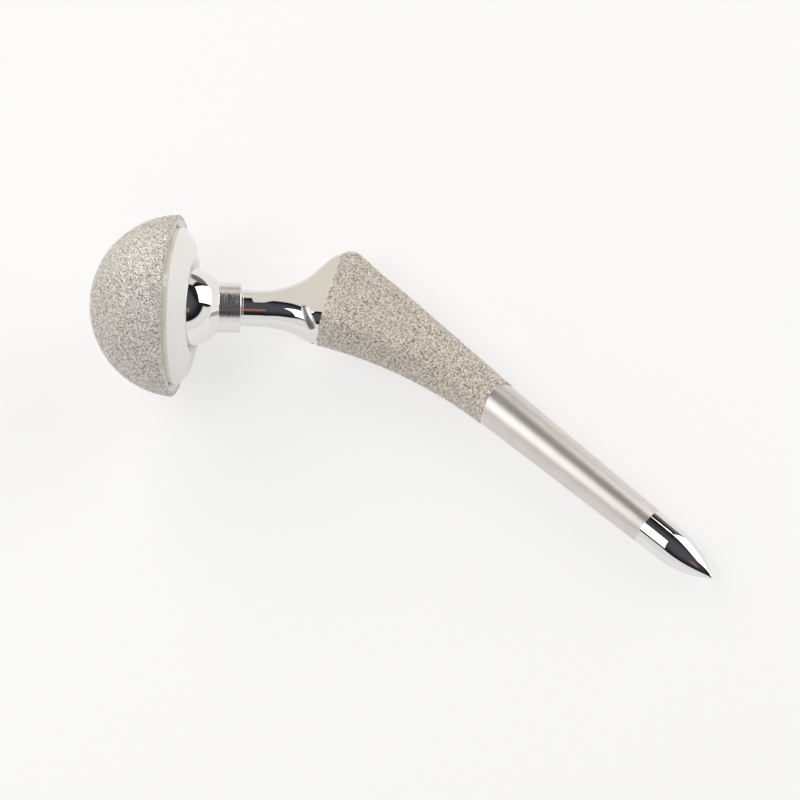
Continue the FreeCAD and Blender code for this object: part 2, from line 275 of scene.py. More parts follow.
def eased(corners, radius, steps=4):
    """Profile with every corner sharper than 12 degrees rounded by a small radius."""
    out = [corners[0]]
    for before, here, after in zip(corners, corners[1:], corners[2:]):
        a = np.subtract(before, here)
        b = np.subtract(after, here)
        la, lb = np.linalg.norm(a), np.linalg.norm(b)
        turn = math.pi - math.acos(np.clip(a @ b / (la * lb), -1, 1))
        if turn < math.radians(12):
            out.append(here)
            continue
        reach = min(radius * math.tan(turn / 2), la / 2, lb / 2)
        p, q = here + a / la * reach, here + b / lb * reach
        for i in range(steps + 1):
            t = i / steps
            out.append(tuple((1 - t) ** 2 * p + 2 * t * (1 - t) * np.array(here) + t ** 2 * q))
    out.append(corners[-1])
    return out


def boolean(piece, cutter, operation="DIFFERENCE"):
    """Cuts or joins the piece with the cutter, which is then removed."""
    modifier = piece.modifiers.new("boolean", "BOOLEAN")
    modifier.object = cutter
    modifier.operation = operation
    modifier.solver = "EXACT"
    bpy.context.view_layer.update()
    graph = bpy.context.evaluated_depsgraph_get()
    mesh = bpy.data.meshes.new_from_object(piece.evaluated_get(graph))
    piece.modifiers.clear()
    old = piece.data
    piece.data = mesh
    bpy.data.meshes.remove(old)
    bpy.data.objects.remove(cutter)


# Noise of the porous coat

def cell_values(cells, seed):
    """Four fixed random shares for each whole-numbered cell."""
    h = cells.astype(np.int64) * np.array([73856093, 19349663, 83492791])
    h = (h[:, 0] ^ h[:, 1] ^ h[:, 2] ^ seed) & 0xFFFFFFFF
    out = []
    for _ in range(4):
        h = (h ^ (h >> 15)) * 2246822519 & 0xFFFFFFFF
        h = (h ^ (h >> 13)) * 3266489917 & 0xFFFFFFFF
        out.append(h / 4294967296.0)
    return np.stack(out, -1)


def grains(points, size, seed):
    """Distance to the nearest grain centre, in grain sizes, and that grain's own share."""
    places = points / size
    base = np.floor(places).astype(np.int64)
    nearest = np.full(len(points), 9.0)
    share = np.zeros(len(points))
    for dx in (-1, 0, 1):
        for dy in (-1, 0, 1):
            for dz in (-1, 0, 1):
                cell = base + (dx, dy, dz)
                values = cell_values(cell, seed)
                distance = np.linalg.norm(cell + values[:, :3] - places, axis=1)
                closer = distance < nearest
                nearest = np.where(closer, distance, nearest)
                share = np.where(closer, values[:, 3], share)
    return nearest, share


def grid_normals(grid):
    """Outward normals of a grid of rows of closed rings."""
    down = np.gradient(grid, axis=0)
    around = np.roll(grid, -1, axis=1) - np.roll(grid, 1, axis=1)
    normals = np.cross(around, down)
    return normals / np.linalg.norm(normals, axis=2, keepdims=True)


def coat_surface(grid, normals, fade, size_share):
    """Sinks a smooth grid into grains. Returns the grid and the height and tone of each point."""
    flat = grid.reshape(-1, 3)
    coarse, tone = grains(flat, grain_size * size_share, 11)
    fine, fine_tone = grains(flat, fine_grain_size * size_share, 29)
    height = 0.58 * (1 - np.clip(coarse * 1.15, 0, 1) ** 2)
    height = height + 0.42 * (1 - np.clip(fine * 1.1, 0, 1) ** 2)
    height = np.clip(height * (0.75 + 0.35 * tone), 0, 1).reshape(grid.shape[:2])
    sunk = grid - normals * (coat_depth * (1 - height) * fade)[..., None]
    return sunk, height, (0.6 * tone + 0.4 * fine_tone).reshape(grid.shape[:2])


def coated_piece(name, outer, inner, convert, material, fade, size_share=1.0):
    """Closed coat: grained outer rows, then a few plain inner rows back to the start."""
    normals = grid_normals(outer)
    middle = outer.mean((0, 1))
    if np.mean(np.sum(normals * (outer - middle), axis=2)) < 0:
        normals = -normals
    sunk, height, tone = coat_surface(outer, normals, fade, size_share)
    points = np.vstack([sunk.reshape(-1, 3), inner.reshape(-1, 3)])
    rows = outer.shape[0] + inner.shape[0]
    quads = tube_quads(rows, outer.shape[1], True)
    piece = make_piece(name, convert(points), quads, [material], sharp=60.0)
    plain = np.full(inner.shape[0] * inner.shape[1], 0.5)
    # The height also drives painted shade in the pits and painted light on the grain tops in the coat's colour.
    for label, values in (("height", height), ("tone", tone)):
        layer = piece.data.attributes.new(label, "FLOAT", "POINT")
        layer.data.foreach_set("value", np.concatenate([values.ravel(), plain]).astype(np.float32))
    return piece


# Shape of the stem

def spline(knots, values, places):
    """Natural cubic curves through values, one row of values per knot."""
    count = len(knots)
    gap = np.diff(knots)
    flat = values.reshape(count, -1)
    left = np.eye(count)
    right = np.zeros_like(flat)
    for i in range(1, count - 1):
        left[i, i - 1:i + 2] = gap[i - 1], 2 * (gap[i - 1] + gap[i]), gap[i]
        right[i] = 6 * ((flat[i + 1] - flat[i]) / gap[i] - (flat[i] - flat[i - 1]) / gap[i - 1])
    bend = np.linalg.solve(left, right)
    k = np.clip(np.searchsorted(knots, places, side="right") - 1, 0, count - 2)
    h = gap[k][:, None]
    a = (knots[k + 1] - places)[:, None]
    b = (places - knots[k])[:, None]
    out = (bend[k] * a ** 3 + bend[k + 1] * b ** 3) / (6 * h)
    out += (flat[k] / h - bend[k] * h / 6) * a + (flat[k + 1] / h - bend[k + 1] * h / 6) * b
    return out.reshape((len(places),) + values.shape[1:])


def lofted(sections, rows):
    """Smooth grid with a number of rows through sections."""
    sections = np.asarray(sections)
    steps = np.linalg.norm(np.diff(sections, axis=0), axis=2).mean(1)
    knots = np.concatenate([[0], np.cumsum(steps)])
    return spline(knots, sections, np.linspace(0, knots[-1], rows))


def span(start, end, count):
    """Even steps from the start, without the end."""
    return start + (end - start) * np.arange(count) / count


def ring_plan(half_width, half_thick, corner, counts):
    """Rounded section in its own plane: flat, corner, side and corner, and the same turned over.

    The counts are the points along the flat, along a corner and along a side.
    """
    split = math.radians(side_angle)
    rise = half_thick - corner
    side_radius = corner + rise / math.sin(split)
    corner_y = half_width - side_radius + rise / math.tan(split)
    flat_n, corner_n, side_n = counts
    a = span(math.pi / 2, split, corner_n)
    s = span(split, -split, side_n)
    b = span(-split, -math.pi / 2, corner_n)
    y = np.concatenate([span(-corner_y, corner_y, flat_n), corner_y + corner * np.cos(a),
                        half_width - side_radius + side_radius * np.cos(s),
                        corner_y + corner * np.cos(b)])
    z = np.concatenate([np.full(flat_n, half_thick), rise + corner * np.sin(a),
                        side_radius * np.sin(s), corner * np.sin(b) - rise])
    return np.concatenate([y, -y]), np.concatenate([z, -z])


def section(start, end, half_thick, corner, counts):
    """Rounded section of the stem between a medial and a lateral point of its middle plane."""
    across = unit(end - start)
    middle = (start + end) / 2
    y, z = ring_plan(np.linalg.norm(end - start) / 2, half_thick, corner, counts)
    return middle + y[:, None] * across + z[:, None] * front


def circle_plan(radius, half_flat, counts, flat):
    """Circle split like the other sections, with or without its two flats."""
    split = math.radians(side_angle)
    top = math.asin(half_flat)
    flat_n, corner_n, side_n = counts
    a = np.concatenate([span(math.pi - top, top, flat_n), span(top, split, corner_n),
                        span(split, -split, side_n), span(-split, -top, corner_n)])
    y, z = radius * np.cos(a), radius * np.sin(a)
    if flat:
        edge = radius * math.cos(top)
        y[:flat_n] = span(-edge, edge, flat_n)
        z[:flat_n] = radius * half_flat
    return np.concatenate([y, -y]), np.concatenate([z, -z])


def on_neck(along, across=0.0, forward=0.0):
    """Point in the stem frame, given along the neck from the ball centre."""
    return neck_axis * (along - neck_length) + neck_across * across + front * forward


def medial_side(x):
    """Point of the long medial curve."""
    drop = calcar_radius - math.sqrt(calcar_radius ** 2 - (x - body_end) ** 2)
    return np.array([x, -(body_end_dia / 2 + drop), 0.0])


def lateral_side(x):
    """Point of the straight lateral side."""
    top = shoulder_top + shoulder_radius
    share = (x - top) / (body_end - top)
    return np.array([x, lateral_width + share * (body_end_dia / 2 - lateral_width), 0.0])


def shoulder_corner(angle):
    """Point of the rounded shoulder, its angle in degrees from the top."""
    a = math.radians(angle)
    center = np.array([shoulder_top + shoulder_radius, lateral_width - shoulder_radius, 0.0])
    return center + np.array([-math.cos(a), math.sin(a), 0.0]) * shoulder_radius


def body_sections(counts, inset=0.0):
    """Sections of the coated body, or of a body that lies inset inside it."""
    top = shoulder_top + shoulder_radius
    length = body_end - top
    medial_length = body_end - calcar_top
    ends = [(medial_side(calcar_top + share * medial_length), shoulder_corner(angle))
            for angle, share in corner_steps]
    ends += [(medial_side(calcar_top + share * medial_length), lateral_side(top + share * length))
             for share in side_steps]
    half_thick = half_thickness - inset
    out = []
    for medial, lateral in ends:
        share = max(0.0, (lateral[0] - top) / length)
        corner = body_corner + (body_end_corner - body_corner) * share ** 2
        side = unit(lateral - medial) * inset
        out.append(section(medial + side, lateral - side, half_thick, corner - inset, counts))
    return out


def coat_end(z):
    """How far the distal end of the coat lies back at a height above the middle plane."""
    reach = (half_thickness ** 2 + coat_end_rise ** 2) / (2 * coat_end_rise)
    return reach - np.sqrt(reach ** 2 - np.clip(z, -half_thickness, half_thickness) ** 2)


def drawn_back(grid, stretch=14.0):
    """Grid of the coated body with its last rows drawn back to the curved end of the coat."""
    share = np.clip((grid[..., 0] - (body_end - stretch)) / stretch, 0, 1) ** 2
    out = grid.copy()
    out[..., 0] -= share * coat_end(grid[..., 2])
    return out


def taper_radius(along, gap=0.0):
    """Radius of the neck taper, or of the bore on it, at a place along the neck."""
    slope = math.tan(math.radians(taper_angle / 2))
    return taper_large_dia / 2 + gap - (taper_base - along) * slope


def shaft_radius(x):
    """Radius of the tapering shaft and of the pointed tip."""
    slope = (shaft_dia - shaft_tip_dia) / 2 / (ogive_start - body_end)
    if x <= ogive_start:
        return shaft_tip_dia / 2 + slope * (ogive_start - x)
    drop = ogive_radius - math.sqrt(ogive_radius ** 2 - (x - ogive_start) ** 2)
    return shaft_tip_dia / 2 - drop


def stem_rings(counts):
    """Rings from the small end of the taper to the tip, under the coat on the way."""
    radius = neck_dia / 2
    half_flat = radius - neck_flat_depth
    flat_share = half_flat / radius
    tip = taper_base - taper_length
    collar = taper_collar_dia / 2
    round_neck = [(tip, 0.05), (tip, taper_radius(tip) - taper_lead)]
    round_neck += [(t, taper_radius(t)) for t in np.linspace(tip + taper_lead, taper_base, 12)]
    round_neck += [(taper_base + taper_relief, collar), (taper_collar_end, collar)]
    round_neck += [(taper_collar_end + (taper_collar_dia - neck_dia) / 2, radius)]
    round_neck += [(t, radius) for t in np.linspace(20.0, neck_flat_start - 0.2, 5)]
    rings = []

    def neck_ring(along, y, z):
        """Ring across the neck. Its place along the neck may differ from point to point."""
        middle = neck_axis * (np.reshape(along, (-1, 1)) - neck_length)
        return middle + y[:, None] * neck_across + z[:, None] * front

    for along, r in round_neck:
        rings.append(neck_ring(along, *circle_plan(r, flat_share, counts, False)))
    flat_edge = radius * math.sqrt(1 - flat_share ** 2)
    for flat, step in ((False, 0.0), (True, 0.03)):
        y, z = circle_plan(radius, flat_share, counts, flat)
        back = (flat_edge - y) ** 2 / (2 * neck_flat_runout)
        along = neck_flat_start + step + np.where(np.abs(z) >= half_flat - 1e-6, back, 0.0)
        rings.append(neck_ring(along, y, z))
    flatted = circle_plan(radius, flat_share, counts, True)
    places = np.linspace(neck_flat_start + 1.5, flare_start, 8)
    rings += [neck_ring(along, *flatted) for along in places[:-1]]
    sections = [neck_ring(flare_start, *flatted)]
    swell = half_thickness - coat_thickness - half_flat
    for i in range(1, flare_steps + 1):
        along = flare_start + (flare_end - flare_start) * i / flare_steps
        bend = along - flare_start
        lateral = radius + flare_lateral_radius - math.sqrt(flare_lateral_radius ** 2 - bend ** 2)
        medial = radius + flare_medial_radius - math.sqrt(flare_medial_radius ** 2 - bend ** 2)
        thick = half_flat + swell * (i / (flare_steps + 1)) ** flare_swell
        turn = math.radians(flare_turn) * max(0, 2 * i / flare_steps - 1)
        across = neck_across * math.cos(turn) + neck_axis * math.sin(turn)
        sections.append(section(on_neck(along) - across * medial, on_neck(along) + across * lateral,
                                thick, flare_corner, counts))
    medial = medial_side(calcar_top)
    lateral = shoulder_corner(0)
    inset = unit(lateral - medial) * coat_thickness
    inward = unit([lateral[1] - medial[1], medial[0] - lateral[0], 0])
    core_corner = body_corner - coat_thickness
    for depth in (0, neck_overlap):
        start, end = medial + inset + inward * depth, lateral - inset + inward * depth
        sections.append(section(start, end, half_thickness - coat_thickness, core_corner, counts))
    rings += list(lofted(sections, 80))
    rings += list(lofted(body_sections(counts, core_depth), 14)[2:-1])
    closing = math.sqrt(ogive_radius ** 2 - (ogive_radius - shaft_tip_dia / 2 + nose_radius) ** 2)
    places = np.concatenate([np.linspace(body_end - 2.9, polish_start, 60),
                             np.linspace(polish_start + 0.25, ogive_start, 10),
                             np.linspace(ogive_start, ogive_start + closing, 46)[1:]])
    shaft = [(x, shaft_radius(x)) for x in places]
    nose = [(ogive_start + closing + nose_radius * math.sin(a), nose_radius * math.cos(a))
            for a in np.radians(np.linspace(15, 80, 7))]
    for x, r in shaft + nose:
        y, z = circle_plan(r, flat_share, counts, False)
        rings.append(np.column_stack([np.full(len(y), x), y, z]))
    return rings


def cylinder_cutter(start, end, radius, convert, count=48, slots=()):
    """Plain closed cylinder between two points. Its faces have the last of the slots."""
    axis = unit(np.subtract(end, start))
    side = unit(np.cross(axis, (0.3, 0.5, 0.8)))
    other = np.cross(axis, side)
    angles = 2 * math.pi * np.arange(count) / count
    circle = radius * (np.cos(angles)[:, None] * side + np.sin(angles)[:, None] * other)
    points, quads = tube([np.asarray(start) + circle, np.asarray(end) + circle])
    last = max(0, len(slots) - 1)
    return make_piece("cutter", convert(points), quads, slots, [last] * len(quads))


def thread_cutter(slots):
    """Shape of the inserter hole: lead-in cone, threaded wall and drill point."""
    radius = inserter_dia / 2
    count = 64
    angles = 2 * math.pi * np.arange(count) / count
    step = thread_pitch / 8
    start = shoulder_top + inserter_sink
    end = shoulder_top + inserter_depth
    outside = inserter_sink + 3
    rings = [circle_ring(shoulder_top - outside, radius + inserter_sink + outside, count),
             circle_ring(start - 0.02, radius + thread_depth * 0.2, count)]
    for x in np.arange(start, end, step):
        turn = (x / thread_pitch - angles / (2 * math.pi)) % 1.0
        ends = min(1.0, (x - start) / thread_pitch, (end - x) / thread_pitch)
        wall = radius + thread_depth * ends * (1 - np.abs(2 * turn - 1))
        rings.append(circle_ring(x, wall, count))
    rings.append(circle_ring(end, radius, count))
    rings.append(circle_ring(end + radius / math.tan(math.radians(59)), 0.05, count))
    points, quads = tube(rings)
    return make_piece("cutter", from_stem(points), quads, slots, [len(slots) - 1] * len(quads))


def groove_cutter(side, slots):
    """Shape of the extractor groove, on the front with side 1 and on the back with side -1."""
    high = on_neck(groove_high[0], groove_high[1], side * groove_high[2])
    low = on_neck(groove_low[0], groove_low[1], side * groove_low[2])
    run = low - high
    return cylinder_cutter(high - run / 2, high + 1.5 * run, groove_radius, from_stem, 96, slots)


# Materials

def new_material(name):
    """Material with its nodes, links and shader."""
    material = bpy.data.materials.new(name)
    material.use_nodes = True
    nodes = material.node_tree.nodes
    links = material.node_tree.links
    return material, nodes, links, nodes["Principled BSDF"]


def add(nodes, kind, **values):
    """Node of a kind with some of its settings."""
    node = nodes.new(kind)
    for key, value in values.items():
        setattr(node, key, value)
    return node


def scaled(color, share):
    """Lighter or darker version of a colour."""
    return tuple(min(1.0, c * share) for c in color)


def ramp(nodes, stops):
    """Colour ramp from pairs of place and colour."""
    node = nodes.new("ShaderNodeValToRGB")
    elements = node.color_ramp.elements
    while len(elements) < len(stops):
        elements.new(0.5)
    for element, (place, color) in zip(elements, stops):
        element.position = place
        element.color = (*color, 1.0)
    return node


def noise(nodes, links, scale, detail=4.0, roughness=0.6):
    """Noise in the object's own coordinates, scale in waves per metre."""
    place = nodes.new("ShaderNodeTexCoord")
    node = nodes.new("ShaderNodeTexNoise")
    node.inputs["Scale"].default_value = scale
    node.inputs["Detail"].default_value = detail
    node.inputs["Roughness"].default_value = roughness
    links.new(place.outputs["Object"], node.inputs["Vector"])
    return node


def mapped(nodes, links, source, low, high, start=0.3, end=0.7):
    """Source between start and end, carried over to low to high."""
    node = nodes.new("ShaderNodeMapRange")
    node.inputs["From Min"].default_value = start
    node.inputs["From Max"].default_value = end
    node.inputs["To Min"].default_value = low
    node.inputs["To Max"].default_value = high
    links.new(source, node.inputs["Value"])
    return node.outputs["Result"]


def bumped(nodes, links, shader, height, strength, distance):
    """Fine relief of the shader's surface."""
    node = nodes.new("ShaderNodeBump")
    node.inputs["Strength"].default_value = strength
    node.inputs["Distance"].default_value = distance
    links.new(height, node.inputs["Height"])
    links.new(node.outputs["Normal"], shader.inputs["Normal"])


def coat_material(name, cell_scale, stops):
    """Sprayed titanium powder: pale grains and dark pits, the pits darkened and the grain tops lightened by
    painted shade and light.
    """
    material, nodes, links, shader = new_material(name)
    shader.inputs["Metallic"].default_value = 0.35
    shader.inputs["Roughness"].default_value = 0.55
    height = add(nodes, "ShaderNodeAttribute", attribute_name="height")
    tone = add(nodes, "ShaderNodeAttribute", attribute_name="tone")
    place = nodes.new("ShaderNodeTexCoord")
    cells = add(nodes, "ShaderNodeTexVoronoi", feature="F1")
    cells.inputs["Scale"].default_value = cell_scale
    links.new(place.outputs["Object"], cells.inputs["Vector"])
    speckle = noise(nodes, links, 3200.0, 2.0, 0.6)
    # Painted shade and light: the colour follows the coat's height and each grain cell's middle, darker in the
    # pits and between grains, lighter on the tops.
    total = add(nodes, "ShaderNodeMath", operation="MULTIPLY_ADD")
    total.inputs[1].default_value = 0.42
    links.new(height.outputs["Fac"], total.inputs[0])
    # Painted shade towards the edges of each grain cell.
    pits = mapped(nodes, links, cells.outputs["Distance"], 0.46, 0.0, 0.15, 0.75)
    links.new(pits, total.inputs[2])
    result = total.outputs[0]
    for extra in (mapped(nodes, links, speckle.outputs["Fac"], -0.10, 0.16),
                  mapped(nodes, links, tone.outputs["Fac"], -0.06, 0.08, 0.0, 1.0)):
        plus = add(nodes, "ShaderNodeMath", operation="ADD")
        links.new(result, plus.inputs[0])
        links.new(extra, plus.inputs[1])
        result = plus.outputs[0]
    colors = ramp(nodes, stops)
    links.new(result, colors.inputs["Fac"])
    links.new(colors.outputs["Color"], shader.inputs["Base Color"])
    bumped(nodes, links, shader, cells.outputs["Distance"], 0.35, -0.00012)
    return material


def polished_material(name, color, low=0.02, high=0.05):
    """Mirror polish with a trace of smear in its roughness."""
    material, nodes, links, shader = new_material(name)
    shader.inputs["Metallic"].default_value = 1.0
    tint = noise(nodes, links, 60.0, 3.0)
    shade = ramp(nodes, [(0.35, scaled(color, 0.97)), (0.65, color)])
    links.new(tint.outputs["Fac"], shade.inputs["Fac"])
    links.new(shade.outputs["Color"], shader.inputs["Base Color"])
    smear = noise(nodes, links, 220.0, 5.0, 0.7)
    links.new(mapped(nodes, links, smear.outputs["Fac"], low, high), shader.inputs["Roughness"])
    return material


def satin_material(name, color, roughness, grain=0.05):
    """Blasted satin metal: fine even grain and a soft mottle."""
    material, nodes, links, shader = new_material(name)
    shader.inputs["Metallic"].default_value = 1.0
    mottle = noise(nodes, links, 140.0, 4.0)
    shade = ramp(nodes, [(0.3, scaled(color, 0.94)), (0.7, scaled(color, 1.03))])
    links.new(mottle.outputs["Fac"], shade.inputs["Fac"])
    links.new(shade.outputs["Color"], shader.inputs["Base Color"])
    fine = noise(nodes, links, 5200.0, 2.0, 0.5)
    rough = mapped(nodes, links, fine.outputs["Fac"], roughness - 0.03, roughness + 0.03)
    links.new(rough, shader.inputs["Roughness"])
    bumped(nodes, links, shader, fine.outputs["Fac"], grain, 0.00005)
    return material


def turned_material(name, color, axis, roughness, pitch=0.00016, strength=0.12, depth=0.00002):
    """Lathe-turned metal: fine rings round the given axis."""
    material, nodes, links, shader = new_material(name)
    shader.inputs["Metallic"].default_value = 1.0
    place = nodes.new("ShaderNodeTexCoord")
    along = add(nodes, "ShaderNodeVectorMath", operation="DOT_PRODUCT")
    along.inputs[1].default_value = tuple(axis)
    links.new(place.outputs["Object"], along.inputs[0])
    rings = add(nodes, "ShaderNodeTexNoise", noise_dimensions="1D")
    rings.inputs["Scale"].default_value = 1 / (2 * pitch)
    rings.inputs["Detail"].default_value = 3.0
    rings.inputs["Roughness"].default_value = 0.7
    links.new(along.outputs["Value"], rings.inputs["W"])
    shade = ramp(nodes, [(0.3, scaled(color, 0.86)), (0.7, color)])
    links.new(rings.outputs["Fac"], shade.inputs["Fac"])
    links.new(shade.outputs["Color"], shader.inputs["Base Color"])
    rough = mapped(nodes, links, rings.outputs["Fac"], roughness * 0.7, roughness * 1.3)
    links.new(rough, shader.inputs["Roughness"])
    bumped(nodes, links, shader, rings.outputs["Fac"], strength, depth)
    return material


def liner_material(name, dark, light):
    """Polyethylene: slightly translucent, smooth, with a faint machined sheen."""
    material, nodes, links, shader = new_material(name)
    tint = noise(nodes, links, 45.0, 3.0)
    shade = ramp(nodes, [(0.3, dark), (0.7, light)])
    links.new(tint.outputs["Fac"], shade.inputs["Fac"])
    links.new(shade.outputs["Color"], shader.inputs["Base Color"])
    shader.inputs["Subsurface Weight"].default_value = 0.15
    shader.inputs["Subsurface Radius"].default_value = (1.0, 0.9, 0.75)
    shader.inputs["Subsurface Scale"].default_value = 0.0012
    smooth = noise(nodes, links, 900.0, 3.0)
    links.new(mapped(nodes, links, smooth.outputs["Fac"], 0.32, 0.42), shader.inputs["Roughness"])
    bumped(nodes, links, shader, smooth.outputs["Fac"], 0.04, 0.00002)
    return material


# The dark ends of these ramps are painted shade in the pits of the coat.
coat = coat_material("porous_titanium_coat", 1600.0, [
    (0.0, (0.10, 0.085, 0.07)), (0.28, (0.36, 0.315, 0.27)),
    (0.55, (0.66, 0.60, 0.53)), (0.9, (0.90, 0.85, 0.78))])
shell_grain = coat_material("porous_titanium_shell", 2500.0, [
    (0.0, (0.02, 0.018, 0.016)), (0.28, (0.25, 0.23, 0.21)),
    (0.55, (0.73, 0.685, 0.635)), (0.85, (1.0, 0.97, 0.92))])
polished = polished_material("polished_titanium", (0.80, 0.79, 0.77))
mirror = polished_material("mirror_tip", (0.82, 0.81, 0.80), 0.01, 0.03)
satin = satin_material("satin_titanium", (0.73, 0.695, 0.66), 0.41)
hole_metal = satin_material("machined_groove", (0.80, 0.79, 0.76), 0.36)
ball_metal = polished_material("mirror_cobalt_chromium", (0.84, 0.83, 0.81), 0.01, 0.03)
skirt_metal = turned_material("turned_cobalt_chromium", (0.86, 0.85, 0.83), neck_dir, 0.22,
                              pitch=0.00012, strength=0.8, depth=0.00004)
rim_metal = turned_material("turned_titanium_rim", (0.74, 0.73, 0.715), neck_dir, 0.4)
inside_metal = satin_material("machined_titanium", (0.60, 0.59, 0.57), 0.35)
white_plastic = liner_material("white_polyethylene", (0.83, 0.83, 0.81), (0.86, 0.86, 0.845))
# Cream tone painted on the liner's side wall: it stands in for light seen through the translucent plastic edge and
# for its shade beside the rim.
edge_glow_plastic = liner_material("polyethylene_edge_painted_light", (0.92, 0.90, 0.78), (0.96, 0.94, 0.83))
plug_metal = turned_material("turned_titanium_plug", (0.70, 0.69, 0.67), neck_dir, 0.3)


# Pieces

def build_stem():
    """Stem with polished neck, satin shaft and mirror tip, and its porous coat."""
    core_counts = (30, 20, 22)
    points, quads = tube(stem_rings(core_counts))
    centers = np.array([points[list(q)].mean(0) for q in quads])
    slots = np.zeros(len(quads), int)
    slots[centers[:, 0] > satin_start] = 1
    slots[centers[:, 0] > polish_start] = 2
    metals = [polished, satin, mirror, hole_metal]
    core = make_piece("stem_body", from_stem(points), quads, metals, slots, 30.0)
    for side in (1, -1):
        boolean(core, groove_cutter(side, metals))
    boolean(core, thread_cutter(metals))
    counts = (58, 34, 26)
    outer = drawn_back(lofted(body_sections(counts), 290))
    inside = drawn_back(lofted(body_sections(counts, body_coat_wall), 10))[::-1]
    inside[0, :, 0] = outer[-1, :, 0] - 0.05
    fade = np.ones(outer.shape[:2])
    fade[0] = 0.15
    fade[1] = 0.6
    fade[-1] = 0.5
    body_coat = coated_piece("porous_coat", outer, inside, from_stem, coat, fade)
    for side in (1, -1):
        boolean(body_coat, groove_cutter(side, [coat]))
    for piece in (core, body_coat):
        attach(piece, "stem")
    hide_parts("femoral_stem")


def build_head():
    """Ball head with its turned skirt and its tapered bore."""
    radius = head_dia / 2
    cut_radius = math.sqrt(radius ** 2 - ball_cut ** 2)
    cut_angle = math.degrees(math.atan2(cut_radius, ball_cut))
    bore_end = taper_base - taper_length - bore_floor_gap
    skirt = skirt_dia / 2
    mouth = taper_radius(skirt_end, taper_gap)
    corners = [(ball_cut, cut_radius), (skirt_start, skirt), (skirt_end - skirt_edge, skirt),
               (skirt_end, skirt - skirt_edge), (skirt_end, mouth + skirt_edge),
               (skirt_end - skirt_edge, mouth), (bore_end, taper_radius(bore_end, taper_gap)),
               (bore_end, 0)]
    ball = arc(0, radius, 180, cut_angle, 90)
    profile = ball[:-1] + eased([ball[-2]] + corners, edge_round)[1:]

    def slot_of(center):
        """The skirt is turned metal, all else is mirror polished."""
        outside = math.hypot(center[1], center[2]) > mouth + 0.2
        return 1 if outside and center[0] > skirt_start + 0.25 else 0

    head = turned("head", profile, from_neck, [ball_metal, skirt_metal], 256, slot_of)
    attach(head, "head")
    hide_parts("femoral_head")


def notch_cylinder(index, count, radius, base, height):
    """Cylinder at one of the places that lie evenly round the circle of notches."""
    angle = math.radians(notch_phase + index * 360.0 / count)
    center = np.array([0, math.cos(angle), math.sin(angle)]) * notch_circle / 2
    top = center + (base + height, 0, 0)
    return cylinder_cutter(center + (base, 0, 0), top, radius, from_cup, 32)


def build_shell():
    """Metal shell with its notched rim, and its porous coat."""
    outer = shell_dia / 2
    inner = outer - shell_wall
    rim_angle = math.degrees(math.acos((shell_rim - shell_center) / inner))
    lip = outer - shell_metal_depth
    hole = dome_hole_dia / 2
    seat = shell_center - inner
    flange = plug_flange_dia / 2 + dome_plug_gap
    lip_start = math.degrees(math.acos((shell_rim - 1.2 - shell_center) / lip))
    rim_radius = math.sqrt(outer ** 2 - (shell_rim - rim_edge - shell_center) ** 2)
    flange_angle = 180 - math.degrees(math.asin(flange / inner))
    corners = [(seat - plug_flange, hole), (shell_center - math.sqrt(lip ** 2 - hole ** 2), hole)]
    corners += arc(shell_center, lip, 180 - math.degrees(math.asin(hole / lip)) - 2, lip_start, 40)
    bare = rim_radius - rim_cover + 0.08
    step = shell_rim - shell_metal_depth
    corners += [(step, lip - 0.1), (step, bare), (shell_rim, bare)]
    corners += arc(shell_center, inner, rim_angle, flange_angle, 40)
    corners += [(seat - plug_flange, flange)]
    profile = eased(corners + corners[:2], shell_edge_round, 3)[1:-1]

    def slot_of(center):
        """The rim is turned metal, the inside is plainer."""
        return 0 if center[0] > shell_rim - 1.0 else 1

    shell = turned("shell_body", profile, from_cup, [rim_metal, inside_metal], 192, slot_of)
    notch_floor = shell_rim - notch_depth
    for i in range(notch_count):
        cutter = notch_cylinder(i, notch_count, notch_dia / 2, notch_floor, 2 * notch_depth)
        boolean(shell, cutter)
    first = math.asin((hole + 0.02) / outer)
    last = math.acos((shell_center - shell_rim + rim_edge) / outer)
    count = 640
    rows = 146
    polar = np.linspace(first, last, 400)
    path_x = np.append(shell_center - outer * np.cos(polar), [shell_rim, shell_rim])
    path_r = np.append(outer * np.sin(polar), [rim_radius - rim_edge, rim_radius - rim_cover])
    along = np.append(0, np.cumsum(np.hypot(np.diff(path_x), np.diff(path_r))))
    places = np.linspace(0, along[-1], rows)

    def rings_of(x, r):
        """Grid of circles about X."""
        return np.stack([circle_ring(place, radius, count) for place, radius in zip(x, r)])

    fade = np.ones((rows, count))
    fade[-1] = 0.2
    fade[-2] = 0.7
    fade[0] = 0.5
    grid = rings_of(np.interp(places, along, path_x), np.interp(places, along, path_r))
    back = polar[::-40]
    under = outer - shell_coat_wall
    inside = rings_of(shell_center - under * np.cos(back), under * np.sin(back))
    shell_coat = coated_piece("shell_coat", grid, inside, from_cup, shell_grain, fade,
                              shell_grain_share)
    for piece in (shell, shell_coat):
        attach(piece, "cup")
    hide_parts("acetabular_shell")
    plug = frame["nodes"]["dome_plug"]
    plug.data.materials.clear()
    plug.data.materials.append(plug_metal)


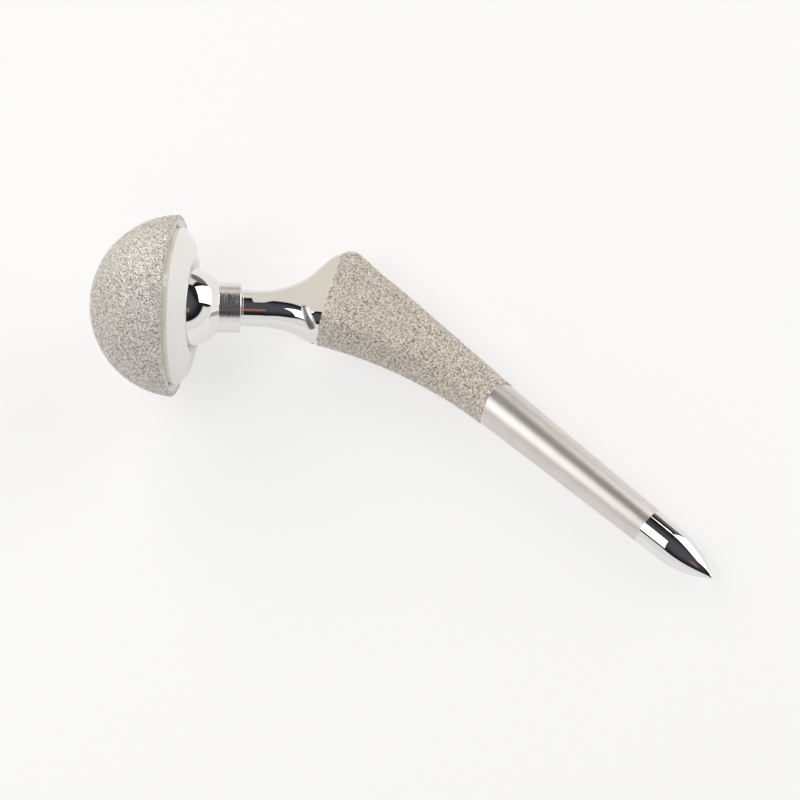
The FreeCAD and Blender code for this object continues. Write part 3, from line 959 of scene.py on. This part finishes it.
def build_liner():
    """Bearing liner with its socket, its slanted face and three tabs in notches of the rim."""
    outer = shell_dia / 2 - shell_wall - liner_gap
    side = math.sqrt(outer ** 2 - (shell_rim - shell_center) ** 2)
    socket = head_dia / 2 + bearing_gap
    rim_angle = math.degrees(math.acos((shell_rim - shell_center) / outer))
    corners = arc(shell_center, outer, 180, rim_angle, 60)
    face = [(liner_step, side), (liner_bevel_top, liner_bevel_dia / 2),
            (liner_face_top, liner_face_dia / 2), (liner_mouth, socket)]
    corners += eased(face, liner_corner, 12)
    corners += arc(0, socket, 90, 180, 60)
    profile = eased(corners, liner_edge_round, 5)
    profile[0] = (profile[0][0], 0)
    profile[-1] = (profile[-1][0], 0)

    def slot_of(center):
        """The side wall between the rim and the face gets the cream tone, painted light and shade of the
        translucent edge.
        """
        edge = math.hypot(center[1], center[2]) > side - 0.6
        return 1 if edge and center[0] < liner_step + 0.3 else 0

    liner = turned("liner", profile, from_cup, [white_plastic, edge_glow_plastic], 256, slot_of)
    for i in range(tab_count):
        base = shell_rim - notch_depth + tab_gap
        tab = notch_cylinder(i, tab_count, notch_dia / 2 - tab_gap, base, notch_depth - tab_gap)
        boolean(liner, tab, "UNION")
    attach(liner, "cup")
    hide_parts("acetabular_liner")


build_stem()
build_head()
build_shell()
build_liner()


# Camera, fitted to the photograph. Its directions and the crossing that it sees are in the
# stem frame, the crossing in millimetres along the camera's own directions.
camera_right = np.array([0.727346, 0.680174, 0.091279])
camera_up = np.array([-0.593043, 0.556020, 0.582359])
camera_back = np.array([0.345352, -0.477709, 0.807791])
seen_crossing = np.array([-6.880465, 31.189183, -887.540769])

camera_place = -(seen_crossing @ np.array([camera_right, camera_up, camera_back]))
camera_data = bpy.data.cameras.new("camera")
camera_data.lens = 112.5
camera_data.sensor_width = 36.0
camera_data.sensor_fit = "HORIZONTAL"
camera_data.clip_start = 0.01
camera = bpy.data.objects.new("camera", camera_data)
bpy.context.scene.collection.objects.link(camera)
view_right, view_up, view_back = np.array([camera_right, camera_up, camera_back]) @ stem_axes
pose = Matrix([view_right, view_up, view_back]).transposed().to_4x4()
pose.translation = Vector(from_stem(camera_place))
camera.matrix_world = pose
bpy.context.scene.camera = camera


# Studio

def aim(side, up):
    """Direction from the object, by turns in degrees to the right and up as the camera sees it."""
    a, b = math.radians(side), math.radians(up)
    level = math.cos(a) * view_back + math.sin(a) * view_right
    return math.cos(b) * level + math.sin(b) * view_up


def soft_box(name, direction, distance, width, height, radiance, color, upright=(0, 0, 1)):
    """Rectangular lamp that faces the object. The radiance is what metal sees of it."""
    data = bpy.data.lights.new(name, "AREA")
    data.shape = "RECTANGLE"
    data.size = width
    data.size_y = height
    data.energy = radiance * math.pi * width * height
    data.color = color
    lamp = bpy.data.objects.new(name, data)
    bpy.context.scene.collection.objects.link(lamp)
    across = unit(np.cross(upright, direction))
    turn = Matrix([across, np.cross(direction, across), direction]).transposed().to_4x4()
    turn.translation = Vector(direction) * distance
    lamp.matrix_world = turn
    return lamp


window = aim(63.2, 32.6)
soft_box("window", window, 1.0, 0.90, 0.87, 2.6, (1.0, 0.985, 0.96),
         -0.555 * view_right + 0.183 * view_up + 0.808 * view_back)
soft_box("strip", aim(-39.5, 8.0), 1.0, 0.40, 0.82, 2.8, (1.0, 0.995, 0.99),
         0.463 * view_right + 0.829 * view_up + 0.313 * view_back)
soft_box("key", aim(-70, 50), 1.1, 0.8, 0.7, 2.3, (1.0, 0.99, 0.97))
fill = soft_box("fill", aim(-12, -6), 1.2, 1.0, 1.0, 1.05, (1.0, 1.0, 1.0))
fill.visible_glossy = False


def studio_world():
    """Pale warm room, with a dark opening overhead that polished metal shows."""
    world = bpy.data.worlds.new("studio")
    world.use_nodes = True
    nodes, links = world.node_tree.nodes, world.node_tree.links
    background = nodes["Background"]
    bpy.context.scene.world = world
    place = nodes.new("ShaderNodeTexCoord")
    level = unit([view_back[0], view_back[1], 0])

    def patch(direction, inner, outer, under, over):
        """Mixes a colour over another inside a cone, soft between two angles from the direction."""
        dot = add(nodes, "ShaderNodeVectorMath", operation="DOT_PRODUCT")
        dot.inputs[1].default_value = tuple(unit(direction))
        links.new(place.outputs["Generated"], dot.inputs[0])
        share = nodes.new("ShaderNodeMapRange")
        share.interpolation_type = "SMOOTHSTEP"
        share.inputs["From Min"].default_value = math.cos(math.radians(outer))
        share.inputs["From Max"].default_value = math.cos(math.radians(inner))
        links.new(dot.outputs["Value"], share.inputs["Value"])
        mix = add(nodes, "ShaderNodeMix", data_type="RGBA")
        links.new(share.outputs["Result"], mix.inputs["Factor"])
        if isinstance(under, tuple):
            mix.inputs[6].default_value = (*under, 1)
        else:
            links.new(under, mix.inputs[6])
        mix.inputs[7].default_value = (*over, 1)
        return mix.outputs[2]

    up = np.array([0, 0, 1.0])

    def horizon(azimuth, elevation):
        """Direction by its turn from the far side towards the right, and its height, in degrees."""
        a, b = math.radians(azimuth), math.radians(elevation)
        return math.cos(b) * (math.sin(a) * view_right - math.cos(a) * level) + math.sin(b) * up

    # Pale room with a warm far side
    color = patch(-level, 30, 120, (0.86, 0.86, 0.85), (0.86, 0.80, 0.72))
    # Dark opening overhead, lighter in its middle, and dark wall round the window
    above = up * math.cos(math.radians(11)) + level * math.sin(math.radians(11))
    color = patch(above, 55, 61, color, (0.012, 0.012, 0.014))
    color = patch(above, 8, 50, color, (0.085, 0.09, 0.105))
    color = patch(window, 33, 37, color, (0.02, 0.02, 0.022))
    # Dark things low on the right, and a small warm one near the camera
    color = patch(horizon(42, 8), 15, 23, color, (0.20, 0.175, 0.15))
    color = patch(horizon(68, -9), 20, 26, color, (0.05, 0.045, 0.04))
    color = patch(aim(5, -12), 2, 9, color, (0.42, 0.17, 0.10))
    links.new(color, background.inputs["Color"])
    background.inputs["Strength"].default_value = 1.0


studio_world()


def build_floor():
    """Plain pale floor. The camera and metal see it whiter, with the object's shadow."""
    material, nodes, links, shader = new_material("pale_floor")
    output = nodes["Material Output"]
    nodes.remove(shader)
    rays = nodes.new("ShaderNodeLightPath")
    seen = add(nodes, "ShaderNodeMath", operation="ADD", use_clamp=True)
    links.new(rays.outputs["Is Camera Ray"], seen.inputs[0])
    links.new(rays.outputs["Is Glossy Ray"], seen.inputs[1])
    also = add(nodes, "ShaderNodeMath", operation="ADD", use_clamp=True)
    links.new(seen.outputs[0], also.inputs[0])
    links.new(rays.outputs["Is Transmission Ray"], also.inputs[1])
    plain = nodes.new("ShaderNodeBsdfDiffuse")
    plain.inputs["Color"].default_value = (0.88, 0.88, 0.875, 1)
    white = nodes.new("ShaderNodeEmission")
    white.inputs["Color"].default_value = (1, 1, 1, 1)
    share = add(nodes, "ShaderNodeMath", operation="MULTIPLY")
    share.inputs[1].default_value = 0.62
    links.new(also.outputs[0], share.inputs[0])
    mix = nodes.new("ShaderNodeMixShader")
    links.new(share.outputs[0], mix.inputs["Fac"])
    links.new(plain.outputs[0], mix.inputs[1])
    links.new(white.outputs[0], mix.inputs[2])
    links.new(mix.outputs[0], output.inputs["Surface"])
    half = 5.0          # metres
    below = -0.0001
    corners = [(x * half, y * half, below) for x, y in ((-1, -1), (1, -1), (1, 1), (-1, 1))]
    floor = make_piece("floor", corners, [(0, 1, 2, 3)], [material])


build_floor()

scene = bpy.context.scene
scene.view_settings.view_transform = "Standard"
